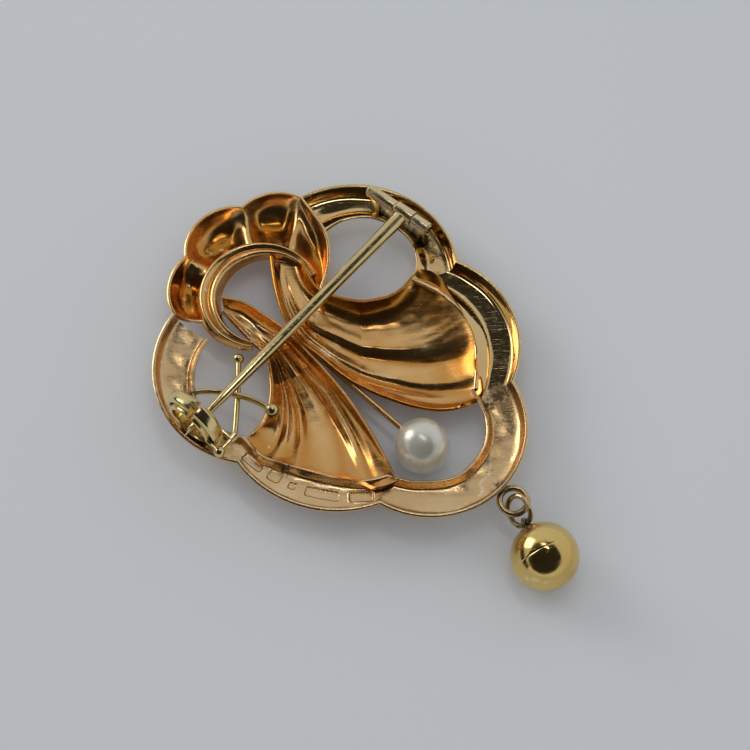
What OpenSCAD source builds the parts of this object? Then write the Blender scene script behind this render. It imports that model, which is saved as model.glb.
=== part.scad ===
/* [Frame] */
// Height of the back rim above the surface that the brooch lies on
rim_z = 3.6; // [3.4:0.1:3.9]
// Thickness of the gold sheet
sheet_t = 0.3; // [0.25:0.05:0.35]
// Depth of a rim channel below the back rim
channel_depth = 1.4; // [1.2:0.1:1.6]
// Drop of a rim channel's inner lip below the back rim
lip_drop = 0.8; // [0.6:0.1:1.0]
// Radius of the lower left lobe
lobe_lower_left_r = 8.75; // [8.6:0.05:8.9]
// Radius of the bottom lobe
lobe_bottom_r = 9.1; // [8.9:0.05:9.3]
// Radius of the lower right lobe
lobe_lower_right_r = 7.8; // [7.75:0.05:8.0]
// Radius of the right lobe
lobe_right_r = 8.2; // [8.0:0.05:8.4]
// Radius of the top lobe
lobe_top_r = 8.9; // [8.7:0.05:9.1]

/* [Leaves and shell] */
// Depth of the leaves' floors below the back rim
leaf_depth = 2.75; // [2.6:0.05:2.8]
// Height of the leaves' pleats
pleat_h = 0.5; // [0.3:0.05:0.6]
// Depth of the shell's pockets below the back rim
pocket_depth = 1.9; // [1.7:0.1:2.1]
// Radius of the crescent scroll, to the middle of its band
crescent_r = 4.55; // [4.45:0.05:4.65]
// Height of the crescent's ridges
ridge_h = 0.35; // [0.25:0.05:0.4]

/* [Pearl and stamens] */
// Diameter of the pearl
pearl_d = 4.5; // [4.4:0.05:4.5]
// Diameter of the stem and stamen wires
wire_d = 0.48; // [0.44:0.02:0.5]
// Diameter of the bead on the long stamen
bead_long_d = 1.2; // [1.0:0.1:1.3]
// Diameter of the bead on the short stamen
bead_short_d = 0.96; // [0.9:0.02:1.1]

/* [Pin and hinge] */
// Height of the pin's axis above the surface that the brooch lies on
pin_z = 4.95; // [4.8:0.05:5.0]
// Diameter of the pin along its straight stretch
pin_d = 1.0; // [0.9:0.05:1.0]
// Length of the pin, from the hinge's axis to its point
pin_len = 26.6; // [26:0.1:27]
// Outer diameter of the hinge's tubes
tube_d = 1.06; // [1.0:0.02:1.1]
// Diameter of the rivet through the hinge
rivet_d = 0.5; // [0.46:0.02:0.5]
// Radial clearance of the pin's knuckle on the rivet
running_gap = 0.03; // [0.02:0.01:0.05]

/* [Catch] */
// Outer diameter of the catch's ring
catch_d = 5.4; // [5.3:0.05:5.5]
// Width of the catch's ring along the pin
catch_w = 1.1; // [1.0:0.05:1.2]
// Width of the slots that the pin leaves through
slot_w = 0.6; // [0.55:0.05:0.7]

/* [Drop] */
// Diameter of the hollow ball
ball_d = 5.34; // [5.3:0.02:5.38]
// Diameter of the eyelet, to the middle of its wire
eyelet_d = 2.16; // [2.1:0.02:2.2]
// Diameter of the eyelet's wire
eyelet_wire_d = 0.5; // [0.46:0.02:0.52]

/* [Hidden] */
$fn = 48;

gold = "#d9a441";
pale_gold = "#d8c17a";
rose_gold = "#cf9a62";
nacre = "#e6e6e2";

// Points where neighbouring lobes meet on the outer rim, counter-clockwise from the left
notches = [[-15.2, 5.7], [-9.25, -7.65], [1.65, -11.0], [12.45, -0.45], [8.3, 10.5], [-4.9, 16.95]];
// Points where their inner edges meet
throats = [[-12.35, 3.7], [-9.2, -5.1], [2.4, -8.4], [9.2, -0.8], [4.2, 9.2], [-3.0, 13.6]];
// Inner edges of the lobes, between one throat and the next
edge_lower_left = [[-13.1, 2.2], [-13.4, 0.4], [-13.2, -1.5], [-12.2, -3.3], [-10.9, -4.5]];
edge_bottom = [[-7.6, -6.7], [-5.7, -7.4], [-3.7, -8.0], [-1.4, -8.6], [0.6, -8.8]];
edge_lower_right = [[4.7, -8.9], [7.9, -8.4], [10.0, -5.9], [10.25, -3.3]];
edge_right = [[9.4, 1.6], [9.2, 4.0], [8.1, 6.3], [6.4, 8.0]];
edge_top = [[4.75, 11.0], [3.9, 13.4], [1.3, 15.1], [-1.2, 14.9]];

// Section of a rim channel: share of its width, and depth as a share of channel_depth
channel = [[0, 0], [0.03, 0.35], [0.11, 0.72], [0.27, 0.97], [0.5, 1.0], [0.72, 0.86]];
// End of the section, at the inner lip: share of its width, and drop below the lip
lip_bead = [[0.88, 0.06], [0.95, 0], [1, 0.3]];
// How far the sheet's thickness leans towards straight down at the lip
lip_lean = 0.9;

crescent_c = [-7.9, 7.5];
crescent_span = [25, 262];
// Half width of its band at the tips, and what the swell adds
crescent_tip_w = 0.38;
crescent_swell_w = 0.72;
// Share of the band's length, as a power, that puts the swell nearer the lower tip
swell_bias = 1.25;
crescent_drop = 0.6;
crescent_edge_drop = 0.75;
// Share of the edges' drop that is left at the tips
tip_fall = 0.3;

// Outer edge of the shell: a band beside the top opening, then three scallops
shell_band = [[-3.5, 8.2], [-2.7, 9.8], [-2.45, 11.8], [-2.95, 14.0], [-4.9, 16.95]];
shell_notches = [[-4.9, 16.95], [-9.85, 16.0], [-14.5, 11.1], [-15.2, 5.7]];
scallop_r = [4.05, 4.25, 4.6];
shell_inner_angles = [5, 62, 104, 152, 210];
// Gap between the shell's inner edge and the middle of the crescent's band
shell_inset = 0.15;
// Drop of the band's end below the rim, and rise of the creases between scallops
band_drop = 0.7;
crease = 0.4;
// Share of the pocket's depth at the band's end, and how fast it grows along the band
band_depth = 0.45;
band_growth = 0.6;

// Edges of the two leaves, from stem to fan
upper_low = [[-7.2, 11.3], [-6.8, 8.6], [-6.1, 6.0], [-4.9, 3.7], [-3.1, 2.1], [-1.1, 0.4],
             [0.9, -0.8], [2.9, -1.7], [4.9, -2.4], [6.9, -2.8], [9.1, -2.8]];
upper_high = [[-4.9, 11.0], [-4.3, 9.4], [-3.5, 8.2], [-2.5, 7.6], [-1.5, 7.3], [-0.5, 7.15],
              [0.5, 7.1], [1.6, 7.3], [2.6, 7.6], [3.8, 8.5], [4.9, 10.2]];
upper_end = [[9.1, -2.8], [10.1, -1.7], [10.0, -0.2], [9.6, 0.9], [9.6, 2.9], [9.1, 4.8],
             [8.4, 6.4], [7.5, 7.9], [6.9, 9.1], [6.0, 10.0], [4.9, 10.2]];
lower_left = [[-11.0, 6.2], [-9.7, 4.6], [-8.5, 3.3], [-7.4, 2.2], [-7.0, 0.9], [-6.8, -0.9],
              [-7.0, -2.6], [-7.6, -4.0], [-8.9, -5.2]];
lower_right = [[-11.3, 7.2], [-9.6, 6.8], [-7.9, 5.7], [-6.2, 4.5], [-4.6, 2.9], [-2.9, 0.9],
               [-1.0, -1.6], [1.0, -4.8], [3.1, -8.8]];
lower_end = [[-8.9, -5.2], [-7.7, -6.8], [-6.1, -7.3], [-4.5, -8.0], [-2.2, -8.5], [0.2, -8.8],
             [1.5, -9.3], [3.1, -8.8]];

// Drop of the leaves' edges below the rim, and share of the length where they are fully open
leaf_drop = 0.1;
leaf_open_at = 0.55;
// Share of the full dish at the stem, and share of it that the edges rise by
stem_dish = 0.42;
wall_rise = 0.75;

pearl_pos = [5.07, -5.6, pearl_d / 2];
stem_root = [-4.6, 3.6, 2.35];
peg_gap = 0.02;
peg_len = 1.6;

stamen_long_root = [-13.5, -1.1, 2.6];
stamen_long_tip = [-6.87, -2.66, 2.6];
stamen_long_r = 8.9;
stamen_short_path = [[-10.4, -5.0, 2.3], [-9.75, -4.7, 2.3], [-9.76, 2.07, 2.3]];
// A wire's bends are this much thicker than the wire
bend_swell = 1.4;

hinge_pos = [3.31, 14.67, pin_z];
hinge_angle = -38;
pin_angle = -130.4;
// Stretches along the hinge's axis, from its middle
long_tube = [-3.08, -0.35];
pin_tube = [-0.27, 1.47];
short_tube = [1.55, 3.08];
pin_knuckle_d = 1.24;
stem_start = 0.35;
stem_root_d = 1.24;
straight_from = 9;
straight_to = 15;
stem_end_d = 0.76;
point_len = 4.6;
point_d = 0.06;
// The hinge's posts and foot: stretches along the hinge's axis, and across it
post_long = [-2.9, -2.0];
post_short = [2.1, 2.9];
post_across = [-0.2, 0.5];
foot_along = [-2.6, 2.6];
foot_across = [0.1, 0.9];
foot_z = 2.15;
foot_h = 0.45;

catch_pos = [-12.7, -4.45, pin_z];
catch_shift = 0.4;
catch_wall = 0.62;
rotor_wall = 0.4;
rotor_gap = 0.05;
ear_t = 0.22;
lever_r = 3.2;
lever_d = 0.5;
lever_angle = -12;
// The lever: where a ball sits on its bar, and the stretch of the barrel on the other end
ear_w = 0.6;
knob_d = 0.9;
knob_at = 0.65;
barrel_d = 0.66;
barrel = [-1.25, -0.6];

eyelet_pos = [12.1, -10.45, 2.7];
drop_angle = -64;
link_roll = 43;
link_wire_d = 0.42;
link_half_len = 1.2;
link_half_w = 0.95;
link_pos = 0.91;
ball_pos = 5.05;
ball_wall = 0.3;
eye_r = 0.4;
eye_wire_d = 0.28;
eye_rise = 0.27;

// ---- curves and sheets ----

function mix(a, b, t) = a + (b - a) * t;

function unit(v) = v / norm(v);

function polar(c, r, a) = c + r * [cos(a), sin(a)];

function raised(p, z) = [p[0], p[1], z];

// Point at t, from 0 to 1, on a smooth curve through the points of a list
function through(list, t) =
    let (n = len(list) - 1, i = min(floor(t * n), n - 1), f = t * n - i,
         a = list[max(i - 1, 0)], b = list[i], c = list[i + 1], d = list[min(i + 2, n)])
    b + ((c - a) * f + (2 * a - 5 * b + 4 * c - d) * f * f
        + (3 * b - 3 * c + d - a) * f * f * f) / 2;

// Point at t on the arc of radius r that runs counter-clockwise from a to b
function arc_between(a, b, r, t) =
    let (d = b - a, h = norm(d) / 2, c = (a + b) / 2 + [-d[1], d[0]] / (2 * h) * sqrt(r * r - h * h),
         start = atan2(a[1] - c[1], a[0] - c[0]))
    polar(c, r, start + t * 2 * asin(h / r));

// Unit normal of a grid of points at row i and column j
function grid_normal(grid, i, j) =
    let (last_i = len(grid) - 1, last_j = len(grid[0]) - 1)
    unit(cross(grid[min(i + 1, last_i)][j] - grid[max(i - 1, 0)][j],
               grid[i][min(j + 1, last_j)] - grid[i][max(j - 1, 0)]));

// Closed sheet whose back face is the grid and whose front face lies sheet_t behind it. The way
// from back to front leans from the normal to straight down by a share, at the first column and
// at the last.
module sheet(grid, lean_first = 0, lean_last = 0) {
    rows = len(grid);
    cols = len(grid[0]);
    size = rows * cols;
    front = [for (i = [0 : rows - 1], j = [0 : cols - 1])
        let (lean = mix(lean_first, lean_last, pow(j / (cols - 1), 4)))
        grid[i][j] - sheet_t * unit(mix(grid_normal(grid, i, j), [0, 0, 1], lean))];
    rim = concat([for (j = [0 : cols - 1]) j],
                 [for (i = [1 : rows - 1]) i * cols + cols - 1],
                 [for (j = [1 : cols - 1]) size - 1 - j],
                 [for (i = [1 : rows - 2]) size - (i + 1) * cols]);
    polyhedron(
        points = concat([for (row = grid) each row], front),
        faces = concat(
            [for (i = [0 : rows - 2], j = [0 : cols - 2], half = [0, 1])
                let (a = i * cols + j, c = a + cols)
                half == 0 ? [a, a + 1, c + 1] : [a, c + 1, c]],
            [for (i = [0 : rows - 2], j = [0 : cols - 2], half = [0, 1])
                let (a = size + i * cols + j, c = a + cols)
                half == 0 ? [a, c + 1, a + 1] : [a, c, c + 1]],
            [for (k = [0 : len(rim) - 1], half = [0, 1])
                let (a = rim[k], b = rim[(k + 1) % len(rim)])
                half == 0 ? [a, size + a, size + b] : [a, size + b, b]]));
}

// Grid of a sheet: rows x cols points from the function of its two shares
function lobe_grid(k, r, edge, rows, cols) =
    let (inner = concat([throats[k]], edge, [throats[k + 1]]),
         lip = rim_z - lip_drop,
         section = concat([for (p = channel) [p[0], rim_z - channel_depth * p[1]]],
                          [for (p = lip_bead) [p[0], lip - p[1]]]))
    [for (i = [0 : rows])
        let (t = i / rows, o = arc_between(notches[k], notches[k + 1], r, t), e = through(inner, t),
             start = o + unit(e - o) * sheet_t)
        [for (j = [0 : cols])
            let (s = through(section, j / cols))
            raised(mix(start, e, s[0]), s[1])]];

module lobe(k, r, edge, rows) {
    color(rose_gold) sheet(lobe_grid(k, r, edge, rows, 12), lean_last = lip_lean);
}

// ---- rim lobes ----

module lobe_lower_left() {
    lobe(0, lobe_lower_left_r, edge_lower_left, 26);
}

module lobe_bottom() {
    lobe(1, lobe_bottom_r, edge_bottom, 18);
}

module lobe_lower_right() {
    lobe(2, lobe_lower_right_r, edge_lower_right, 30);
}

module lobe_right() {
    lobe(3, lobe_right_r, edge_right, 20);
}

module lobe_top() {
    lobe(4, lobe_top_r, edge_top, 26);
}

// ---- shell and crescent ----

function shell_outer(s) =
    s < 1 ? through(shell_band, s)
          : let (k = min(floor(s) - 1, 2))
            arc_between(shell_notches[k], shell_notches[k + 1], scallop_r[k], s - 1 - k);

// Section of the shell: share of its width, and share of the pocket's depth
shell_section = [[0, 0], [0.05, 0.35], [0.16, 0.75], [0.36, 1.0], [0.6, 0.95], [0.82, 0.72], [1, 0.5]];

module shell() {
    rows = 44;
    cols = 10;
    grid = [for (i = [0 : rows])
        let (s = 4 * i / rows, o = shell_outer(s),
             e = polar(crescent_c, crescent_r + shell_inset, through(shell_inner_angles, s / 4)),
             start = o + unit(e - o) * sheet_t, top = rim_z - band_drop * max(1 - s, 0),
             open = min(1, band_depth + band_growth * s),
             depth = pocket_depth * (1 - crease * pow(abs(cos(180 * s)), 5)) * open)
        [for (j = [0 : cols])
            let (p = through(shell_section, j / cols))
            raised(mix(start, e, p[0]), max(top - depth * p[1], rim_z - pocket_depth))]];
    color(gold) sheet(grid);
}

module crescent() {
    rows = 44;
    cols = 12;
    grid = [for (i = [0 : rows])
        let (t = i / rows, a = mix(crescent_span[0], crescent_span[1], t),
             swell = sin(180 * pow(t, swell_bias)), w = crescent_tip_w + crescent_swell_w * swell)
        [for (j = [0 : cols])
            let (s = j / cols, ridges = ridge_h * swell * pow(sin(360 * s), 2),
                 fall = crescent_edge_drop * pow(abs(2 * s - 1), 4) * mix(tip_fall, 1, swell))
            raised(polar(crescent_c, crescent_r + w * (1 - 2 * s), a),
                   rim_z - crescent_drop + ridges - fall)]];
    color(gold) sheet(grid, lean_first = 1, lean_last = 1);
}

// ---- leaves ----

// Height of a pleated leaf: u runs from stem to fan, v across it
function leaf_z(u, v, pleats) =
    let (open = min(1, pow(u / leaf_open_at, 2)), wall = pow(abs(2 * v - 1), 4), end = pow(u, 8),
         rise = wall_rise * (wall + end - wall * end),
         dish = leaf_depth * mix(stem_dish, 1, open) * (1 - rise))
    rim_z - leaf_drop - dish + pleat_h * open * (1 - cos(360 * pleats * v)) / 2 * (1 - end);

function leaf_grid(low, high, end, pleats, rows, cols) =
    [for (i = [0 : rows])
        let (u = i / rows, a = through(low, u), b = through(high, u), pull = pow(u, 3))
        [for (j = [0 : cols])
            let (v = j / cols, bulge = through(end, v) - mix(low[len(low) - 1], high[len(high) - 1], v))
            raised(mix(a, b, v) + pull * bulge, leaf_z(u, v, pleats))]];

module leaf_upper() {
    color(gold) sheet(leaf_grid(upper_low, upper_high, upper_end, 4, 30, 32));
}

module leaf_lower() {
    color(gold) sheet(leaf_grid(lower_left, lower_right, lower_end, 5, 30, 32));
}

// ---- wires, beads and pearl ----

// Round bar from a to b, of diameter d1 at a and d2 at b
module bar(a, b, d1, d2) {
    v = b - a;
    translate(a)
        rotate([0, acos(v[2] / norm(v)), atan2(v[1], v[0])])
            cylinder(h = norm(v), d1 = d1, d2 = d2);
}

module wire(path) {
    for (i = [0 : len(path) - 2]) {
        bar(path[i], path[i + 1], wire_d, wire_d);
        if (i > 0) translate(path[i]) sphere(d = wire_d * bend_swell);
    }
}

// Level wire along the counter-clockwise arc of radius r from a to b
module arched_wire(a, b, r) {
    half = norm(b - a) / 2;
    across = [a[1] - b[1], b[0] - a[0], 0] / (2 * half);
    centre = (a + b) / 2 + across * sqrt(r * r - half * half);
    translate(centre) rotate([0, 0, atan2(a[1] - centre[1], a[0] - centre[0])])
        rotate_extrude(angle = 2 * asin(half / r)) translate([r, 0]) circle(d = wire_d, $fn = 24);
}

function pearl_entry() = pearl_pos - unit(pearl_pos - stem_root) * (pearl_d / 2 - peg_len);

module pearl_stem() {
    color(gold) wire([stem_root, pearl_entry()]);
}

module pearl() {
    inward = unit(pearl_pos - stem_root);
    hole_d = wire_d + 2 * peg_gap;
    color(nacre) difference() {
        translate(pearl_pos) sphere(d = pearl_d);
        bar(pearl_pos - inward * pearl_d, pearl_entry() + inward * peg_gap, hole_d, hole_d);
    }
}

module stamen_long() {
    color(pale_gold) arched_wire(stamen_long_tip, stamen_long_root, stamen_long_r);
}

module stamen_short() {
    color(pale_gold) wire(stamen_short_path);
}

module bead_long() {
    color(pale_gold) translate(stamen_long_tip) sphere(d = bead_long_d);
}

module bead_short() {
    color(pale_gold) translate(stamen_short_path[2]) sphere(d = bead_short_d);
}

// ---- hinge ----

// Turns +Z to lie along the hinge's axis, with the hinge's middle at the origin
module on_hinge() {
    translate(hinge_pos) rotate([0, 90, hinge_angle]) children();
}

module hinge_tube(stretch, d) {
    color(pale_gold) on_hinge() difference() {
        translate([0, 0, stretch[0]]) cylinder(h = stretch[1] - stretch[0], d = d);
        translate([0, 0, stretch[0] - 1])
            cylinder(h = stretch[1] - stretch[0] + 2, d = rivet_d + 2 * running_gap);
    }
}

// Block over a stretch along the hinge's axis and one across it, from z1 to z2
module hinge_block(along, across, z1, z2) {
    translate([hinge_pos[0], hinge_pos[1], z1]) rotate([0, 0, hinge_angle])
        translate([along[0], across[0], 0])
            cube([along[1] - along[0], across[1] - across[0], z2 - z1]);
}

module hinge_base() {
    post_top = pin_z - rivet_d / 2 - running_gap - 0.1;
    color(pale_gold) {
        hinge_block(post_long, post_across, foot_z, post_top);
        hinge_block(post_short, post_across, foot_z, post_top);
        hinge_block(foot_along, foot_across, foot_z, foot_z + foot_h);
    }
}

module hinge_tube_long() {
    hinge_tube(long_tube, tube_d);
}

module hinge_tube_short() {
    hinge_tube(short_tube, tube_d);
}

module hinge_rivet() {
    head_h = 0.12;
    head_d = 0.8;
    color(pale_gold) on_hinge() {
        translate([0, 0, long_tube[0] - head_h]) cylinder(h = head_h, d = head_d);
        translate([0, 0, long_tube[0] - head_h])
            cylinder(h = short_tube[1] - long_tube[0] + 2 * head_h, d = rivet_d);
        translate([0, 0, short_tube[1]]) cylinder(h = head_h, d = head_d);
    }
}

module pin_knuckle() {
    hinge_tube(pin_tube, pin_knuckle_d);
}

// Turns +Z to run along the pin, from the middle of its knuckle towards the point
module on_pin() {
    knuckle_mid = (pin_tube[0] + pin_tube[1]) / 2;
    translate(hinge_pos + knuckle_mid * [cos(hinge_angle), sin(hinge_angle), 0])
        rotate([0, 90, pin_angle]) children();
}

module pin_stem() {
    taper_to = pin_len - point_len;
    color(pale_gold) difference() {
        on_pin() {
            translate([0, 0, stem_start])
                cylinder(h = straight_from - stem_start, d1 = stem_root_d, d2 = pin_d);
            translate([0, 0, straight_from]) cylinder(h = straight_to - straight_from, d = pin_d);
            translate([0, 0, straight_to])
                cylinder(h = taper_to - straight_to, d1 = pin_d, d2 = stem_end_d);
            translate([0, 0, taper_to]) cylinder(h = point_len, d1 = stem_end_d, d2 = point_d);
        }
        on_hinge() translate([0, 0, pin_tube[0] - 1])
            cylinder(h = pin_tube[1] - pin_tube[0] + 2, d = pin_knuckle_d);
    }
}

// ---- catch ----

// Turns +Z to run along the pin and +X to point to the right across it, at the ring's middle
module on_catch() {
    translate(catch_pos) rotate([0, 90, pin_angle]) rotate([0, 0, 90]) children();
}

// Slot above the pin, cut from the ring's middle upwards
module catch_slot(len) {
    translate([catch_shift - slot_w / 2, 0, -len]) cube([slot_w, catch_d, 2 * len]);
}

module ring(r_out, r_in, w) {
    rotate_extrude() translate([r_in, -w / 2]) square([r_out - r_in, w]);
}

module catch_foot() {
    foot_w = 2.6;
    foot_len = 0.9;
    foot_drop = 0.1;
    foot_rise = 0.35;
    overlap = 0.1;
    color(pale_gold) on_catch() difference() {
        translate([-foot_w / 2, -catch_d / 2 - foot_drop, -foot_len / 2])
            cube([foot_w, foot_drop + foot_rise, foot_len]);
        translate([0, 0, -catch_w]) cylinder(h = 2 * catch_w, r = catch_d / 2 - overlap);
    }
}

module catch_ring() {
    color(pale_gold) on_catch() difference() {
        ring(catch_d / 2, catch_d / 2 - catch_wall, catch_w);
        catch_slot(catch_w);
    }
}

module catch_rotor() {
    r_out = catch_d / 2 - catch_wall - rotor_gap;
    ear_from = catch_w / 2 + rotor_gap;
    ear_root = r_out - rotor_wall / 2;
    rotor_w = 2 * (ear_from + ear_t);
    color(pale_gold) on_catch() difference() {
        union() {
            ring(r_out, r_out - rotor_wall, rotor_w);
            for (z = [ear_from, -ear_from - ear_t]) rotate([0, 0, lever_angle])
                translate([ear_root, -ear_w / 2, z]) cube([lever_r - ear_root, ear_w, ear_t]);
        }
        catch_slot(rotor_w);
    }
}

module catch_lever() {
    color(pale_gold) on_catch() rotate([0, 0, lever_angle]) translate([lever_r, 0, 0]) {
        translate([0, 0, barrel[0]]) cylinder(h = knob_at - barrel[0], d = lever_d);
        translate([0, 0, knob_at]) sphere(d = knob_d);
        translate([0, 0, barrel[0]]) cylinder(h = barrel[1] - barrel[0], d = barrel_d);
    }
}

// ---- drop ----

// Turns +X to point down the drop from the eyelet's middle
module on_drop(along) {
    translate(eyelet_pos) rotate([0, 0, drop_angle]) translate([along, 0, 0]) children();
}

module torus(r, d) {
    rotate_extrude() translate([r, 0]) circle(d = d, $fn = 24);
}

module eyelet() {
    color(pale_gold) on_drop(0) torus(eyelet_d / 2, eyelet_wire_d);
}

module jump_ring() {
    straight = link_half_len - link_half_w;
    color(pale_gold) on_drop(link_pos) rotate([90 - link_roll, 0, 0]) {
        for (side = [0, 180]) rotate([0, 0, side]) {
            translate([straight, 0, 0]) rotate([0, 0, -90])
                rotate_extrude(angle = 180) translate([link_half_w, 0]) circle(d = link_wire_d, $fn = 24);
            translate([-straight, link_half_w, 0]) rotate([0, 90, 0])
                cylinder(h = 2 * straight, d = link_wire_d, $fn = 24);
        }
    }
}

module ball_eye() {
    color(pale_gold) on_drop(ball_pos - ball_d / 2 - eye_rise)
        rotate([90 - link_roll, 0, 0]) rotate([90, 0, 0]) torus(eye_r, eye_wire_d);
}

module ball_half(side) {
    color(pale_gold) on_drop(ball_pos) difference() {
        sphere(d = ball_d);
        sphere(d = ball_d - 2 * ball_wall);
        translate([side > 0 ? -ball_d : 0, -ball_d, -ball_d]) cube([ball_d, 2 * ball_d, 2 * ball_d]);
    }
}

module ball_near_half() {
    ball_half(-1);
}

module ball_far_half() {
    ball_half(1);
}

lobe_lower_left();
lobe_bottom();
lobe_lower_right();
lobe_right();
lobe_top();
shell();
crescent();
leaf_upper();
leaf_lower();
pearl_stem();
pearl();
stamen_long();
stamen_short();
bead_long();
bead_short();
hinge_base();
hinge_tube_long();
hinge_tube_short();
hinge_rivet();
pin_knuckle();
pin_stem();
catch_foot();
catch_ring();
catch_rotor();
catch_lever();
eyelet();
jump_ring();
ball_eye();
ball_near_half();
ball_far_half();
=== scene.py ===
"""Brooch seen from its back: detailed surfaces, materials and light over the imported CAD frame."""
import math

import bmesh
import bpy
import numpy as np
from mathutils import Matrix, Vector


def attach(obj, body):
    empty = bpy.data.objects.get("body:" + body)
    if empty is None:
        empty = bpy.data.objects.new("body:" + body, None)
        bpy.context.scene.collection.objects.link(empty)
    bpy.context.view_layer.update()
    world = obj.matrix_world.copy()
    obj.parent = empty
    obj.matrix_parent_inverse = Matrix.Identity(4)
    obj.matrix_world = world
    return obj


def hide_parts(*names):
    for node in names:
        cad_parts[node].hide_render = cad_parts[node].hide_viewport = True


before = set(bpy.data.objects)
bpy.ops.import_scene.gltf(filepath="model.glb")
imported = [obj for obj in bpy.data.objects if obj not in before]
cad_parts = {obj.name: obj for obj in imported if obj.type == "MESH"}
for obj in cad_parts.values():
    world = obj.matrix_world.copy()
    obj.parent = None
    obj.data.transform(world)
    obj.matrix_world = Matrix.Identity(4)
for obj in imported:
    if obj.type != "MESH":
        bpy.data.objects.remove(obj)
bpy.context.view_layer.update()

MM = 0.001


# ---- camera ----

AIM = Vector((1.35, 0.0, 3.6)) * MM
ELEVATION = math.radians(64)
DISTANCE = 128 * MM
SENSOR, LENS = 36, 76.8
VIEW = Vector((0, -math.cos(ELEVATION), math.sin(ELEVATION)))

camera = bpy.data.objects.new("camera", bpy.data.cameras.new("camera"))
bpy.context.collection.objects.link(camera)
camera.location = AIM + VIEW * DISTANCE
camera.rotation_euler = (math.pi / 2 - ELEVATION, 0, 0)
camera.data.sensor_width = SENSOR
camera.data.lens = LENS
camera.data.clip_start = 0.001
bpy.context.scene.camera = camera

# ---- sizes shared with the CAD model, in mm ----

RIM_Z = 3.6
SHEET_T = 0.3
CHANNEL_DEPTH = 1.4
LIP_DROP = 0.8
LOBES = ("lobe_lower_left", "lobe_bottom", "lobe_lower_right", "lobe_right", "lobe_top")
LOBE_R = (8.75, 9.1, 7.8, 8.2, 8.9)
NOTCHES = [(-15.2, 5.7), (-9.25, -7.65), (1.65, -11.0), (12.45, -0.45), (8.3, 10.5), (-4.9, 16.95)]
THROATS = [(-12.35, 3.7), (-9.2, -5.1), (2.4, -8.4), (9.2, -0.8), (4.2, 9.2), (-3.0, 13.6)]
INNER_EDGES = (
    [(-13.1, 2.2), (-13.4, 0.4), (-13.2, -1.5), (-12.2, -3.3), (-10.9, -4.5)],
    [(-7.6, -6.7), (-5.7, -7.4), (-3.7, -8.0), (-1.4, -8.6), (0.6, -8.8)],
    [(4.7, -8.9), (7.9, -8.4), (10.0, -5.9), (10.25, -3.3)],
    [(9.4, 1.6), (9.2, 4.0), (8.1, 6.3), (6.4, 8.0)],
    [(4.75, 11.0), (3.9, 13.4), (1.3, 15.1), (-1.2, 14.9)],
)
CRESCENT_C = np.array([-7.9, 7.5])
CRESCENT_R = 4.55
PIN_Z = 4.95
HINGE = (3.31, 14.67, PIN_Z)
HINGE_ANGLE = -38
PIN_ANGLE = -130.4
CATCH = (-12.7, -4.45, PIN_Z)
EYELET = (12.1, -10.45, 2.7)
DROP_ANGLE = -64
LINK_ROLL = 43


# ---- curves ----

def through(points, t):
    """Points at the shares t, from 0 to 1, of a smooth curve through a list of points."""
    p = np.asarray(points, float)
    n = len(p) - 1
    t = np.atleast_1d(t)
    i = np.minimum(np.floor(t * n).astype(int), n - 1)
    f = (t * n - i)[:, None]
    a, b = p[np.maximum(i - 1, 0)], p[i]
    c, d = p[i + 1], p[np.minimum(i + 2, n)]
    return b + ((c - a) * f + (2 * a - 5 * b + 4 * c - d) * f ** 2
                + (3 * b - 3 * c + d - a) * f ** 3) / 2


def arc_between(a, b, r, t):
    """Points at the shares t of the counter-clockwise arc of radius r from a to b."""
    a, b = np.array(a, float), np.array(b, float)
    d = b - a
    h = np.linalg.norm(d) / 2
    c = (a + b) / 2 + np.array([-d[1], d[0]]) / (2 * h) * math.sqrt(r * r - h * h)
    start = math.atan2(a[1] - c[1], a[0] - c[0])
    angle = start + np.atleast_1d(t) * 2 * math.asin(h / r)
    return c + r * np.stack([np.cos(angle), np.sin(angle)], 1)


def unit(v):
    return v / np.linalg.norm(v, axis=-1, keepdims=True)


def smooth(x, low, high):
    """0 below low and 1 above high, with a smooth step between."""
    f = np.clip((x - low) / (high - low), 0, 1)
    return f * f * (3 - 2 * f)


def wander(x, y, seed, size):
    """Gentle unevenness, within about 1 either way, whose waves are about size long."""
    rng = np.random.RandomState(seed)
    total = np.zeros(np.broadcast(x, y).shape)
    for _ in range(6):
        a = rng.uniform(0, 2 * math.pi)
        k = 2 * math.pi / (size * rng.uniform(0.7, 1.6))
        total += np.sin(k * (x * math.cos(a) + y * math.sin(a)) + rng.uniform(0, 6.3))
    return total / 3.5


# ---- meshes ----

# Where solder or handling has darkened the metal: centre and reach in mm, and strength
DARK_SPOTS = (
    ((11.4, -1.2, 2.3), 1.0, 1.0), ((10.4, -1.9, 2.2), 0.7, 0.8), ((11.3, -9.5, 2.6), 0.9, 1.0),
    ((-13.7, 0.4, 2.6), 1.0, 0.6), ((-13.0, -5.0, 2.4), 1.3, 0.7), ((-10.4, -5.0, 2.3), 0.8, 0.8),
    ((-13.5, -1.1, 2.6), 0.7, 0.8), ((1.4, 16.4, 2.3), 1.2, 0.6), ((5.4, 13.2, 2.3), 1.2, 0.8),
    ((-5.7, -7.6, 2.6), 0.7, 0.8), ((12.6, -11.6, 2.7), 0.8, 0.7), ((13.0, -12.5, 2.7), 1.0, 1.0),
    ((-4.6, 3.6, 2.4), 1.0, 0.4), ((3.1, -8.8, 3.3), 0.7, 0.5), ((8.0, 10.2, 2.4), 0.8, 0.5),
)


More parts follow.
